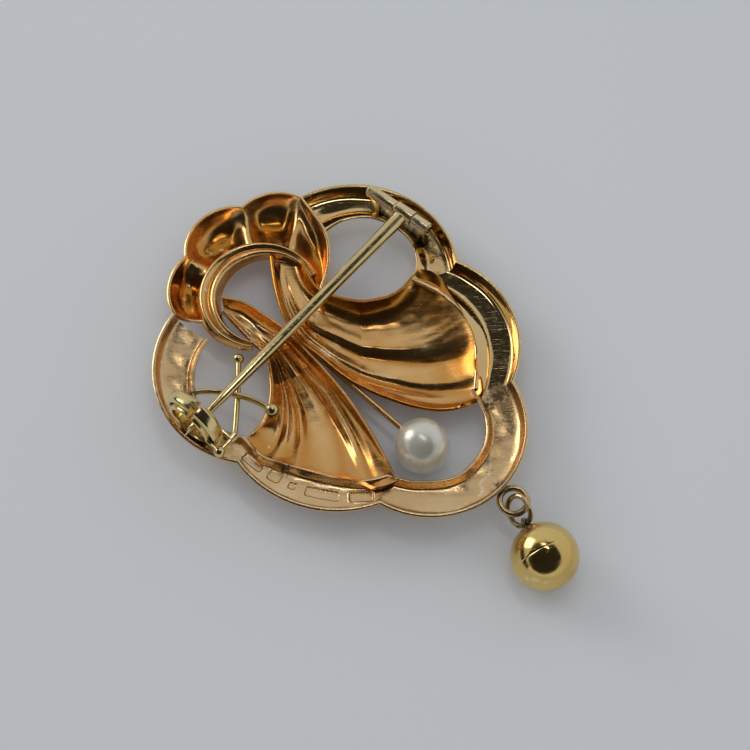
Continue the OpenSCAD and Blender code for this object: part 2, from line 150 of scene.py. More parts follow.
def finish_mesh(name, verts, faces, body, nodes, material, sharp=50, painted_shade_weight=None):
    """A piece from points in mm: it rides on a body and stands for CAD nodes."""
    mesh = bpy.data.meshes.new(name)
    verts = np.asarray(verts, float)
    mesh.from_pydata([tuple(v) for v in verts * MM], [], faces)
    patina = np.zeros(len(verts))
    for centre, reach, strength in DARK_SPOTS:
        near = np.linalg.norm(verts - np.array(centre), axis=1) / reach
        patina = np.maximum(patina, strength * np.exp(-near ** 2))
    # The second attribute weighs painted shade and painted reflection of nearby gold in the hollows
    for label, values in (("patina", patina),
                          ("painted_shade_weight", np.zeros(len(verts)) if painted_shade_weight is None else painted_shade_weight)):
        layer = mesh.attributes.new(label, "FLOAT", "POINT")
        layer.data.foreach_set("value", np.ascontiguousarray(values, np.float32))
    bm = bmesh.new()
    bm.from_mesh(mesh)
    bmesh.ops.remove_doubles(bm, verts=bm.verts, dist=1e-7)
    bmesh.ops.dissolve_degenerate(bm, edges=bm.edges, dist=1e-8)
    bmesh.ops.recalc_face_normals(bm, faces=bm.faces)
    bm.to_mesh(mesh)
    bm.free()
    for polygon in mesh.polygons:
        polygon.use_smooth = True
    mesh.set_sharp_from_angle(angle=math.radians(sharp))
    # Solder darkens the back, so the spots fade out where the metal faces the front
    normals = np.empty(3 * len(mesh.vertices), np.float32)
    mesh.vertices.foreach_get("normal", normals)
    spots = np.empty(len(mesh.vertices), np.float32)
    mesh.attributes["patina"].data.foreach_get("value", spots)
    facing = np.clip(2 * normals[2::3] + 1.6, 0, 1)  # 0 below a normal's z of -0.8, 1 above -0.3
    mesh.attributes["patina"].data.foreach_set("value", np.ascontiguousarray(spots * facing))
    piece = bpy.data.objects.new(name, mesh)
    bpy.context.collection.objects.link(piece)
    mesh.materials.append(material)
    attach(piece, body)
    if nodes:
        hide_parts(*nodes)
    return piece


# Distances from a sheet's edge of its first points, and the reach of the rounded edge, in mm
END_STATIONS = (0, 0.012, 0.035, 0.07)
FIRST_INNER = 0.11
EDGE_ROUND = 0.1


def along_stations(row, count):
    """The points of a row again, spaced evenly, and closer together at both ends."""
    step = np.linalg.norm(np.diff(row[:, :3], axis=0), axis=1)
    length = np.concatenate([[0], np.cumsum(step)])
    total = length[-1]
    ends = np.minimum(np.array(END_STATIONS), total * 0.1)
    first = min(FIRST_INNER, total * 0.15)
    inner = np.linspace(first, total - first, count)
    at = np.concatenate([ends, inner, total - ends[::-1]])
    return np.stack([np.interp(at, length, row[:, k]) for k in range(4)], 1), at, total


def edge_fill(distance):
    """Share of the full thickness at a distance from a rounded edge."""
    d = np.clip(distance / EDGE_ROUND, 0, 1)
    return (1 - (1 - d) ** 3) ** (1 / 3)


def thick_sheet(grid, count, round_first=False, round_last=False):
    """Points, faces and painted-shade weights of sheet metal whose back face is the grid, with round
    edges.
    """
    rows, fills = [], []
    for row in grid:
        points, at, total = along_stations(row, count)
        rows.append(points)
        fills.append(edge_fill(np.minimum(at, total - at)))
    back = np.array(rows)[..., :3]
    # The grid's fourth column weighs painted shade and painted reflection of nearby gold
    painted_shade_weight = np.array(rows)[..., 3].ravel()
    fill = np.array(fills)
    du = np.gradient(back, axis=0)
    dv = np.gradient(back, axis=1)
    normal = unit(np.cross(du, dv))
    span = np.linalg.norm(np.diff(back, axis=0), axis=2).mean(axis=1)
    run = np.concatenate([[0], np.cumsum(span)])
    if round_first:
        fill *= edge_fill(run)[:, None]
    if round_last:
        fill *= edge_fill(run[-1] - run)[:, None]
    middle = back - normal * SHEET_T / 2
    up = middle + normal * SHEET_T / 2 * fill[..., None]
    down = middle - normal * SHEET_T / 2 * fill[..., None]
    n, m = back.shape[:2]
    verts = np.concatenate([up.reshape(-1, 3), down.reshape(-1, 3)])
    index = np.arange(n * m).reshape(n, m)
    a, b = index[:-1, :-1], index[:-1, 1:]
    c, d = index[1:, 1:], index[1:, :-1]
    top = np.stack([a, d, c, b], -1).reshape(-1, 4)
    faces = top.tolist() + (top[:, ::-1] + n * m).tolist()
    for i in (0, n - 1):
        for j in range(m - 1):
            p, q = index[i, j], index[i, j + 1]
            faces.append([p, q, q + n * m, p + n * m])
    return verts, faces, np.concatenate([painted_shade_weight, painted_shade_weight])


def sheet_piece(name, grid, count, slot, material, nodes, **rounding):
    verts, faces, painted_shade_weight = thick_sheet(grid, count, **rounding)
    return finish_mesh(name, verts, faces, "frame", nodes, material, painted_shade_weight=painted_shade_weight)


def frames_along(path):
    """Two unit vectors across a path at each of its points, without twist."""
    tangent = unit(np.gradient(path, axis=0))
    side = np.cross(tangent[0], [0.0, 0.0, 1.0])
    if np.linalg.norm(side) < 0.1:
        side = np.cross(tangent[0], [0.0, 1.0, 0.0])
    side = unit(side)
    sides = []
    for t in tangent:
        side = unit(side - t * np.dot(side, t))
        sides.append(side)
    sides = np.array(sides)
    return sides, np.cross(tangent, sides)


def swept(path, radii, around=24):
    """Points and faces of round wire along a path, with flat ends."""
    path = np.asarray(path, float)
    radii = np.broadcast_to(radii, (len(path),))
    u, v = frames_along(path)
    a = np.linspace(0, 2 * math.pi, around, endpoint=False)
    ring = np.cos(a)[None, :, None] * u[:, None] + np.sin(a)[None, :, None] * v[:, None]
    verts = (path[:, None] + ring * radii[:, None, None]).reshape(-1, 3)
    n = len(path)
    faces = []
    for i in range(n - 1):
        for j in range(around):
            k = (j + 1) % around
            p = i + 1
            faces.append([i * around + j, i * around + k, p * around + k, p * around + j])
    faces.append(list(range(around))[::-1])
    faces.append([(n - 1) * around + j for j in range(around)])
    return verts, faces


def turned(profile, around=72, wobble=None):
    """Points and faces of a shape turned about +Z from (radius, height) points."""
    a = np.linspace(0, 2 * math.pi, around, endpoint=False)
    profile = np.array(profile, float)
    r = profile[:, 0][:, None] * np.ones(around)
    if wobble is not None:
        r = r * wobble(a[None, :], profile[:, 1][:, None])
    verts = np.stack([r * np.cos(a), r * np.sin(a),
                      profile[:, 1][:, None] * np.ones(around)], -1).reshape(-1, 3)
    faces = []
    for i in range(len(profile) - 1):
        for j in range(around):
            k = (j + 1) % around
            faces.append([i * around + j, i * around + k,
                          (i + 1) * around + k, (i + 1) * around + j])
    return verts, faces


def capped(profile):
    """A turned profile that starts and ends on the axis."""
    return [(0, profile[0][1])] + list(profile) + [(0, profile[-1][1])]


def rounded_rod(r, z0, z1, bevel=0.06, steps=4):
    """Profile of a rod of radius r from z0 to z1 with rounded ends."""
    turns = [math.pi / 2 * k / steps for k in range(steps + 1)]
    low = [(r - bevel + bevel * math.sin(t), z0 + bevel - bevel * math.cos(t)) for t in turns]
    high = [(r - bevel + bevel * math.cos(t), z1 - bevel + bevel * math.sin(t)) for t in turns]
    return low + high


def rounded_tube(r_out, r_in, z0, z1, bevel=0.05, steps=4):
    """Closed profile of a tube with rounded edges."""
    outer = rounded_rod(r_out, z0, z1, bevel, steps)
    turns = [math.pi / 2 * k / steps for k in range(steps + 1)]
    top = [(r_in + bevel - bevel * math.sin(t), z1 - bevel + bevel * math.cos(t)) for t in turns]
    low = [(r_in + bevel - bevel * math.cos(t), z0 + bevel - bevel * math.sin(t)) for t in turns]
    return outer + top + low + [outer[0]]


def placed(verts, matrix):
    """Points moved by a matrix in mm."""
    m = np.array(matrix)
    return np.asarray(verts) @ m[:3, :3].T + m[:3, 3]


def turn(axis, degrees):
    return Matrix.Rotation(math.radians(degrees), 4, axis)


def shift(x, y, z):
    return Matrix.Translation((x, y, z))


ON_HINGE = shift(*HINGE) @ turn("Z", HINGE_ANGLE) @ turn("Y", 90)
ON_CATCH = shift(*CATCH) @ turn("Z", PIN_ANGLE) @ turn("Y", 90) @ turn("Z", 90)


def on_drop(along):
    return shift(*EYELET) @ turn("Z", DROP_ANGLE) @ shift(along, 0, 0)


def ball_profile(r, z=0.0, steps=24, start=0.0, end=math.pi):
    """Half circle profile about a centre at height z."""
    turns = [start + (end - start) * k / steps for k in range(steps + 1)]
    return [(r * math.sin(t), z - r * math.cos(t)) for t in turns]


# ---- materials ----

def gold(name, bright, deep, rough, scratch=0.5, grain=0.35, flutes=0.0, painted_shade=None):
    """Worn gold: two tones, painted shade in creases and hollows with painted reflection of nearby
    gold, a painted highlight on sharp edges, dark spots, smears, hairline scratches and grain.
    """
    material = bpy.data.materials.new(name)
    material.use_nodes = True
    nodes, links = material.node_tree.nodes, material.node_tree.links
    shader = nodes["Principled BSDF"]
    shader.inputs["Metallic"].default_value = 1.0

    coords = nodes.new("ShaderNodeTexCoord")

    def noise(scale, detail=4.0, stretch=None, rough_=0.55):
        node = nodes.new("ShaderNodeTexNoise")
        node.inputs["Scale"].default_value = scale
        node.inputs["Detail"].default_value = detail
        node.inputs["Roughness"].default_value = rough_
        source = coords.outputs["Object"]
        if stretch:
            mapping = nodes.new("ShaderNodeMapping")
            mapping.inputs["Rotation"].default_value = (0.3, 0.2, stretch[0])
            mapping.inputs["Scale"].default_value = stretch[1]
            links.new(source, mapping.inputs["Vector"])
            source = mapping.outputs["Vector"]
        links.new(source, node.inputs["Vector"])
        return node.outputs["Fac"]

    def span(value, a, b, c, d):
        node = nodes.new("ShaderNodeMapRange")
        node.inputs["From Min"].default_value = a
        node.inputs["From Max"].default_value = b
        node.inputs["To Min"].default_value = c
        node.inputs["To Max"].default_value = d
        links.new(value, node.inputs["Value"])
        return node.outputs["Result"]

    def add(a, b, how="ADD"):
        node = nodes.new("ShaderNodeMath")
        node.operation = how
        for socket, value in zip(node.inputs, (a, b)):
            if isinstance(value, (int, float)):
                socket.default_value = value
            else:
                links.new(value, socket)
        return node.outputs["Value"]

    def painted(label):
        node = nodes.new("ShaderNodeAttribute")
        node.attribute_name = label
        return node.outputs["Fac"]

    def mixed(fac, a, b):
        node = nodes.new("ShaderNodeMix")
        node.data_type = "RGBA"
        for socket, value in zip((node.inputs[0], node.inputs[6], node.inputs[7]), (fac, a, b)):
            if isinstance(value, tuple):
                socket.default_value = (*value, 1.0)
            else:
                links.new(value, socket)
        return node.outputs[2]

    broad = noise(260, 5.0)
    fine = noise(2600, 6.0)
    smear = noise(420, 4.0, stretch=(0.7, (1.0, 3.5, 1.0)))
    hair_a = noise(900, 3.0, stretch=(0.5, (0.6, 16.0, 0.6)), rough_=0.7)
    hair_b = noise(900, 3.0, stretch=(-0.9, (0.6, 14.0, 0.6)), rough_=0.7)

    geometry = nodes.new("ShaderNodeNewGeometry")
    # Painted shade: concave places, found from pointiness, lean to the deep tone; the broad noise is
    # a real random tone
    crease_shade = span(geometry.outputs["Pointiness"], 0.44, 0.5, 1.0, 0.0)
    tone = add(span(broad, 0.35, 0.7, 0.0, 0.75), add(crease_shade, 0.7, "MULTIPLY"))
    colour = mixed(tone, bright, deep)
    # Painted shade and painted reflection of nearby gold: hollows turn deep orange by the weight on
    # the mesh
    if painted_shade:
        colour = mixed(painted("painted_shade_weight"), colour, painted_shade)
    # Painted highlight: sharp convex edges, found from pointiness, turn a pale near-white gold
    edge = span(geometry.outputs["Pointiness"], 0.52, 0.6, 0.0, 0.7)
    highlight_tint = tuple(0.55 * c + 0.45 * w for c, w in zip(bright, (1.0, 0.86, 0.6)))
    colour = mixed(edge, colour, highlight_tint)
    speckle = noise(3200, 4.0, rough_=0.7)
    dark = add(painted("patina"), span(speckle, 0.36, 0.62, 0.25, 1.5), "MULTIPLY")
    dark = span(dark, 0.15, 0.8, 0.0, 0.85)
    colour = mixed(dark, colour, (0.045, 0.03, 0.02))
    links.new(colour, shader.inputs["Base Color"])

    hairs = add(span(hair_a, 0.62, 0.72, 0.0, 1.0), span(hair_b, 0.64, 0.74, 0.0, 1.0))
    roughness = add(span(smear, 0.3, 0.75, rough * 0.7, rough * 1.45),
                    add(span(fine, 0.3, 0.8, -0.04, 0.06), add(hairs, 0.08 * scratch, "MULTIPLY")))
    roughness = add(roughness, add(dark, 0.35, "MULTIPLY"))
    links.new(roughness, shader.inputs["Roughness"])

    bump = nodes.new("ShaderNodeBump")
    bump.inputs["Strength"].default_value = 0.35
    bump.inputs["Distance"].default_value = 0.00004
    height = add(add(fine, grain, "MULTIPLY"), add(hairs, -0.25 * scratch, "MULTIPLY"))
    if flutes:
        height = add(height, add(noise(1500, 2.0, stretch=(0.9, (0.25, 3.0, 0.25))),
                                 flutes, "MULTIPLY"))
    links.new(height, bump.inputs["Height"])
    links.new(bump.outputs["Normal"], shader.inputs["Normal"])
    return material


RIM_GOLD = gold("rim_gold", (0.86, 0.62, 0.34), (0.70, 0.43, 0.18), 0.24, scratch=0.8, grain=0.8)
POLISHED_GOLD = gold("polished_gold", (0.86, 0.64, 0.32), (0.72, 0.46, 0.18), 0.055, scratch=0.35,
                     grain=0.15)
# The leaf's last colour is painted shade and painted reflection of nearby gold for its hollows
LEAF_GOLD = gold("leaf_gold", (0.92, 0.60, 0.26), (0.74, 0.38, 0.11), 0.21, scratch=0.3,
                 grain=0.3, flutes=0.5, painted_shade=(0.62, 0.25, 0.035))
FITTING_GOLD = gold("fitting_gold", (0.86, 0.70, 0.34), (0.58, 0.42, 0.17), 0.14, scratch=0.7,
                    grain=0.25)
# A paler copy of the fitting gold, painted lighter to look lit, and rougher and grainier
LIT_TUBE_GOLD = gold("tube_gold_painted_lit", (0.93, 0.78, 0.46), (0.70, 0.52, 0.24), 0.24, scratch=0.8,
                 grain=1.0)
WORN_GOLD = gold("worn_gold", (0.72, 0.54, 0.27), (0.36, 0.25, 0.11), 0.17, scratch=0.7,
                 grain=0.4)
BALL_GOLD = gold("ball_gold", (0.84, 0.62, 0.23), (0.68, 0.43, 0.12), 0.15, scratch=0.4,
                 grain=0.3)


def nacre():
    """Pearl: pale layered body with a soft cloud of tone and faint growth rings."""
    material = bpy.data.materials.new("pearl")
    material.use_nodes = True
    nodes, links = material.node_tree.nodes, material.node_tree.links
    shader = nodes["Principled BSDF"]
    shader.inputs["Metallic"].default_value = 0.55
    shader.inputs["Roughness"].default_value = 0.3
    shader.inputs["IOR"].default_value = 1.66
    shader.inputs["Coat Weight"].default_value = 0.35
    shader.inputs["Coat Roughness"].default_value = 0.1
    shader.inputs["Subsurface Weight"].default_value = 0.3
    shader.inputs["Subsurface Radius"].default_value = (0.6, 0.5, 0.4)
    shader.inputs["Subsurface Scale"].default_value = 0.0008
    shader.inputs["Sheen Weight"].default_value = 0.15
    coords = nodes.new("ShaderNodeTexCoord")
    cloud = nodes.new("ShaderNodeTexNoise")
    cloud.inputs["Scale"].default_value = 500
    cloud.inputs["Detail"].default_value = 4.0
    ramp = nodes.new("ShaderNodeValToRGB")
    ramp.color_ramp.elements[0].position = 0.35
    ramp.color_ramp.elements[0].color = (0.62, 0.60, 0.49, 1)
    ramp.color_ramp.elements[1].position = 0.7
    ramp.color_ramp.elements[1].color = (0.79, 0.77, 0.67, 1)
    rings = nodes.new("ShaderNodeTexWave")
    rings.inputs["Scale"].default_value = 900
    rings.inputs["Distortion"].default_value = 3.0
    bump = nodes.new("ShaderNodeBump")
    bump.inputs["Strength"].default_value = 0.08
    bump.inputs["Distance"].default_value = 0.00003
    links.new(coords.outputs["Object"], cloud.inputs["Vector"])
    links.new(coords.outputs["Object"], rings.inputs["Vector"])
    links.new(cloud.outputs["Fac"], ramp.inputs["Fac"])
    links.new(ramp.outputs["Color"], shader.inputs["Base Color"])
    links.new(rings.outputs["Fac"], bump.inputs["Height"])
    links.new(bump.outputs["Normal"], shader.inputs["Normal"])
    return material


PEARL = nacre()

# ---- rim lobes ----

# Share of the width and share of the depth, from the rim inwards, then the lip's drop in mm
WIDE_FLOOR = ([(0, 0), (0.03, 0.35), (0.1, 0.62), (0.24, 0.78), (0.45, 0.9), (0.66, 0.97),
               (0.84, 0.97)], [(0.91, 0.36), (1.0, 0.0)])
DARK_FLOOR = ([(0, 0), (0.03, 0.4), (0.07, 0.76), (0.13, 0.92), (0.3, 0.97), (0.6, 1.0)],
              [(0.68, 0.42), (0.92, 0.04), (1.0, 0.15)])
SECTIONS = (WIDE_FLOOR, WIDE_FLOOR, WIDE_FLOOR, DARK_FLOOR, DARK_FLOOR)
# Blank cartouches sunk in the bottom lobe's floor: middle, half length, half width, turn
STAMPS = (((-8.25, -7.0), 0.95, 0.42, -40), ((-6.5, -8.15), 0.55, 0.55, -30),
          ((-5.15, -9.0), 0.3, 0.3, -20), ((-2.8, -9.7), 1.35, 0.44, -12),
          ((0.3, -9.95), 0.95, 0.44, 2))
STAMP_DEPTH = 0.13
STAMPED_LOBE = LOBES.index("lobe_bottom")


def stamped(x, y):
    """How far the stamps sink the floor at each point."""
    sunk = np.zeros_like(x)
    for (cx, cy), half_l, half_w, degrees in STAMPS:
        a = math.radians(degrees)
        u = (x - cx) * math.cos(a) + (y - cy) * math.sin(a)
        v = -(x - cx) * math.sin(a) + (y - cy) * math.cos(a)
        corner = min(half_l, half_w) * 0.5
        du = np.maximum(np.abs(u) - half_l + corner, 0)
        dv = np.maximum(np.abs(v) - half_w + corner, 0)
        gap = np.hypot(du, dv) - corner
        sunk = np.maximum(sunk, STAMP_DEPTH * (1 - smooth(gap, -0.07, 0.03)))
        sunk -= 0.35 * STAMP_DEPTH * np.exp(-((gap - 0.08) / 0.06) ** 2)
    return sunk


FINE = 1.0


def lobe_grid(k, rows, cols):
    inner = [THROATS[k]] + list(INNER_EDGES[k]) + [THROATS[k + 1]]
    lip = RIM_Z - LIP_DROP
    channel, lip_line = SECTIONS[k]
    section = ([(s, RIM_Z - CHANNEL_DEPTH * d) for s, d in channel]
               + [(s, lip - d) for s, d in lip_line])
    across = through(section, np.linspace(0, 1, cols + 1))
    t = np.linspace(0, 1, rows + 1)
    outer = arc_between(NOTCHES[k], NOTCHES[k + 1], LOBE_R[k], t)
    edge = through(inner, t)
    start = outer + unit(edge - outer) * SHEET_T
    xy = start[:, None] + (edge - start)[:, None] * across[None, :, :1]
    z = np.broadcast_to(across[:, 1], xy.shape[:2]).copy()
    floor = smooth(across[:, 0], 0.05, 0.25) * (1 - smooth(across[:, 0], 0.8, 0.95))
    uneven = 0.012 if SECTIONS[k] is DARK_FLOOR else 0.035
    z += uneven * wander(xy[..., 0], xy[..., 1], 11 + k, 2.6) * floor
    if k == STAMPED_LOBE:
        z -= stamped(xy[..., 0], xy[..., 1]) * floor
    return np.stack([xy[..., 0], xy[..., 1], z, 0 * z], 2)


for k, name in enumerate(LOBES):
    rows, count = (300, 110) if k == STAMPED_LOBE else (150, 64)
    sheet_piece(name + "_sheet", lobe_grid(k, int(rows * FINE), 110), int(count * FINE), "rim_gold",
                POLISHED_GOLD if SECTIONS[k] is DARK_FLOOR else RIM_GOLD, [name])

# ---- shell and crescent ----

SHELL_BAND = [(-3.5, 8.2), (-2.7, 9.8), (-2.45, 11.8), (-2.95, 14.0), (-4.9, 16.95)]
SHELL_NOTCHES = [(-4.9, 16.95), (-9.85, 16.0), (-14.5, 11.1), (-15.2, 5.7)]
SCALLOP_R = (4.05, 4.25, 4.6)
SHELL_ANGLES = [(5,), (62,), (104,), (152,), (210,)]
SHELL_SECTION = [(0, 0), (0.05, 0.35), (0.16, 0.75), (0.36, 1.0), (0.6, 0.95), (0.82, 0.72), (1, 0.5)]
POCKET_DEPTH = 1.9


def ring_points(c, r, degrees):
    a = np.radians(degrees)
    return c + np.asarray(r)[..., None] * np.stack([np.cos(a), np.sin(a)], -1)


def shell_grid(rows, cols):
    s = np.linspace(0, 4, rows + 1)
    outer = np.zeros((rows + 1, 2))
    outer[s < 1] = through(SHELL_BAND, s[s < 1])
    for k in range(3):
        here = (s >= k + 1) & ((s < k + 2) | (k == 2))
        outer[here] = arc_between(SHELL_NOTCHES[k], SHELL_NOTCHES[k + 1], SCALLOP_R[k],
                                  s[here] - 1 - k)
    angles = through(SHELL_ANGLES, s / 4)[:, 0]
    inner = ring_points(CRESCENT_C, np.full(len(s), CRESCENT_R + 0.15), angles)
    start = outer + unit(inner - outer) * SHEET_T
    share = through(SHELL_SECTION, np.linspace(0, 1, cols + 1))
    top = RIM_Z - 0.7 * np.maximum(1 - s, 0)
    crease = np.abs(np.cos(np.pi * s)) ** 7
    depth = POCKET_DEPTH * (1 - 0.5 * crease) * np.minimum(1, 0.45 + 0.6 * s)
    xy = start[:, None] + (inner - start)[:, None] * share[None, :, :1]
    z = np.maximum(top[:, None] - depth[:, None] * share[None, :, 1], RIM_Z - POCKET_DEPTH)
    z += 0.04 * wander(xy[..., 0], xy[..., 1], 5, 2.0) * smooth(share[:, 0], 0.1, 0.3)
    # Painted shade: rising from the outer edge into the pockets, less along the creases between
    # scallops
    painted_shade = smooth(share[:, 0], 0.0, 0.35)[None] * (1 - 0.8 * crease[:, None])
    return np.stack([xy[..., 0], xy[..., 1], z, painted_shade], 2)


sheet_piece("shell_sheet", shell_grid(int(260 * FINE), 80), int(60 * FINE), "leaf_gold",
            LEAF_GOLD, ["shell"])


CRESCENT_START, CRESCENT_END = 25, 262


def crescent_grid(rows, cols):
    t = np.linspace(0, 1, rows + 1)
    a = CRESCENT_START + (CRESCENT_END - CRESCENT_START) * t
    swell = np.sin(np.pi * t ** 1.25)
    w = 0.38 + 0.72 * swell
    s = np.linspace(0, 1, cols + 1)
    radius = CRESCENT_R + w[:, None] * (1 - 2 * s[None])
    xy = ring_points(CRESCENT_C, radius, np.broadcast_to(a[:, None], radius.shape))
    ridges = 0.35 * np.abs(np.sin(2 * np.pi * s)) ** 1.3
    fall = 0.75 * np.abs(2 * s - 1)[None] ** 4 * (0.5 + 0.5 * swell[:, None])
    z = RIM_Z - 0.6 + ridges[None] * (0.4 + 0.6 * swell[:, None]) - fall
    # Painted shade in the middle groove and along both edges
    painted_shade = 0.8 * np.maximum(np.exp(-((s - 0.5) / 0.07) ** 2), smooth(np.abs(2 * s - 1), 0.8, 1))
    return np.stack([xy[..., 0], xy[..., 1], z, painted_shade[None] + 0 * z], 2)


sheet_piece("crescent_scroll", crescent_grid(int(240 * FINE), 60), int(40 * FINE), "leaf_gold",
            LEAF_GOLD, ["crescent"], round_first=True, round_last=True)

# ---- leaves ----

UPPER_LOW = [(-7.2, 11.3), (-6.8, 8.6), (-6.1, 6.0), (-4.9, 3.7), (-3.1, 2.1), (-1.1, 0.4),
             (0.9, -0.8), (2.9, -1.7), (4.9, -2.4), (6.9, -2.8), (9.1, -2.8)]
UPPER_HIGH = [(-4.9, 11.0), (-4.3, 9.4), (-3.5, 8.2), (-2.5, 7.6), (-1.5, 7.3), (-0.5, 7.15),
              (0.5, 7.1), (1.6, 7.3), (2.6, 7.6), (3.8, 8.5), (4.9, 10.2)]
UPPER_END = [(9.1, -2.8), (10.1, -1.7), (10.0, -0.2), (9.6, 0.9), (9.6, 2.9), (9.1, 4.8),
             (8.4, 6.4), (7.5, 7.9), (6.9, 9.1), (6.0, 10.0), (4.9, 10.2)]
LOWER_LEFT = [(-11.0, 6.2), (-9.7, 4.6), (-8.5, 3.3), (-7.4, 2.2), (-7.0, 0.9), (-6.8, -0.9),
              (-7.0, -2.6), (-7.6, -4.0), (-8.9, -5.2)]
LOWER_RIGHT = [(-11.3, 7.2), (-9.6, 6.8), (-7.9, 5.7), (-6.2, 4.5), (-4.6, 2.9), (-2.9, 0.9),
               (-1.0, -1.6), (1.0, -4.8), (3.1, -8.8)]
LOWER_END = [(-8.9, -5.2), (-7.7, -6.8), (-6.1, -7.3), (-4.5, -8.0), (-2.2, -8.5), (0.2, -8.8),
             (1.5, -9.3), (3.1, -8.8)]
LEAF_DEPTH = 2.75

# A ridge: its line as (u, v) points from stem to fan, height in mm, and its width in shares of v
# on the low and on the high side
UPPER_RIDGES = (
    (((0.15, 0.42), (0.28, 0.42), (0.44, 0.5), (0.6, 0.54), (0.8, 0.53), (1.0, 0.48)),
     0.45, 0.06, 0.2),
    (((0.15, 0.22), (0.3, 0.2), (0.42, 0.2), (0.5, 0.25), (0.7, 0.29), (0.88, 0.27), (1.0, 0.22)),
     0.36, 0.05, 0.1),
    (((0.2, 0.08), (0.4, 0.06), (0.52, 0.09), (0.66, 0.12), (0.95, 0.13)), 0.28, 0.045, 0.05),
)
LOWER_RIDGES = (
    (((0.2, 0.14), (0.38, 0.24), (0.55, 0.29), (0.8, 0.26), (1.0, 0.22)), 0.4, 0.045, 0.05),
    (((0.25, 0.3), (0.5, 0.4), (0.7, 0.45), (0.9, 0.41), (1.0, 0.38)), 0.42, 0.045, 0.05),
    (((0.3, 0.55), (0.62, 0.63), (0.8, 0.6), (1.0, 0.56)), 0.2, 0.09, 0.1),
    (((0.3, 0.72), (0.52, 0.79), (0.69, 0.86), (0.85, 0.83), (1.0, 0.76)), 0.5, 0.09, 0.045),
    (((0.4, 0.9), (0.66, 0.93), (0.88, 0.93), (1.0, 0.9)), 0.25, 0.03, 0.03),
)


def leaf_grid(low, high, end, ridges, rows, cols, seed, shade_start_v, shade_strength, flute_h, pull):
    u = np.linspace(0, 1, rows + 1)[:, None]
    v = np.linspace(0, 1, cols + 1)[None]
    a, b = through(low, u[:, 0])[:, None], through(high, u[:, 0])[:, None]
    chord = np.array(low[-1]) * (1 - v[..., None]) + np.array(high[-1]) * v[..., None]
    bulge = through(end, v[0])[None] - chord
    xy = a * (1 - v[..., None]) + b * v[..., None] + (u ** 3)[..., None] * bulge
    opened = np.minimum(1, (u / 0.55) ** 2)
    wall = np.abs(2 * v - 1) ** 4
    tail = u ** 8
    dish = LEAF_DEPTH * (0.42 + 0.58 * opened) * (1 - 0.75 * (wall + tail - wall * tail))
    z = RIM_Z - 0.1 - dish
    relief = np.zeros_like(z)
    # Painted shade and painted reflection of nearby gold: on both walls, at the tail and in the
    # furrow beside each ridge, less on the ridges
    painted_shade = np.maximum(np.maximum(smooth(v, shade_start_v, 0.92), 1 - smooth(v, 0.0, 0.14)),
                        smooth(u, 0.8, 0.95))
    for line, height, low_w, high_w in ridges:
        at = np.interp(u[:, 0], [p[0] for p in line], [p[1] for p in line])[:, None]
        rise = smooth(u, line[0][0] - 0.12, line[0][0] + 0.15)
        d = v - at
        w = np.where(d > 0, high_w, low_w)
        here = np.exp(-np.abs(d / w) ** 1.8)
        relief = np.maximum(relief, height * rise * here)
        furrow = np.exp(-((d + 1.5 * low_w) / (0.7 * low_w)) ** 2)
        painted_shade = np.maximum(painted_shade * (1 - 0.5 * here * rise), 0.9 * rise * furrow)
    z = z + relief * (1 - u ** 10) * (1 - wall)
    z = z + 0.012 * wander(xy[..., 0], xy[..., 1], seed, 1.8) * (1 - wall)
    fan = smooth(u, 0.35, 0.85) * (1 - wall) * (1 - u ** 10)
    flute = fan * np.sin(2 * np.pi * (15 * v + 0.5 * wander(3 * u, 3 * v, seed + 5, 0.9)))
    z = z + flute_h * flute * np.clip(0.5 + 0.6 * wander(3 * u, 6 * v, seed + 9, 1.5), 0, 1.2)
    xy = xy + (np.array(pull) * ((u * (1 - v)) ** 8)[..., None])
    return np.stack([xy[..., 0], xy[..., 1], z, np.clip(painted_shade * shade_strength, 0, 1)], 2)


for name, low, high, end, ridges, *shape in (
        ("leaf_upper", UPPER_LOW, UPPER_HIGH, UPPER_END, UPPER_RIDGES, 21, 0.62, 1, 0.008,
         (-0.9, 0.6)),
        ("leaf_lower", LOWER_LEFT, LOWER_RIGHT, LOWER_END, LOWER_RIDGES, 22, 0.84, 0.8, 0.024,
         (0.2, 0.2))):
    grid = leaf_grid(low, high, end, ridges, int(220 * FINE), 260, *shape)
    sheet_piece(name + "_fluted", grid, int(150 * FINE), "leaf_gold", LEAF_GOLD, [name],
                round_first=True)

# ---- wires, beads and pearl ----

PEARL_D = 4.5
LONG_Z, SHORT_Z = 2.6, 2.3
PEARL_POS = np.array([5.07, -5.6, PEARL_D / 2])
STEM_ROOT = np.array([-4.6, 3.6, 2.35])
WIRE_R = 0.24


def wire_piece(name, points, radius, material, nodes, body="frame"):
    t = np.linspace(0, 1, 60)
    path = through(points, t)
    ends = np.minimum(t, 1 - t)
    radii = radius * (0.35 + 0.65 * np.sqrt(np.clip(ends / 0.015, 0, 1)))
    radii = radii * (1 + 0.03 * wander(path[:, 0], path[:, 1], 3, 1.5))
    verts, faces = swept(path, radii)
    return finish_mesh(name, verts, faces, body, nodes, material)


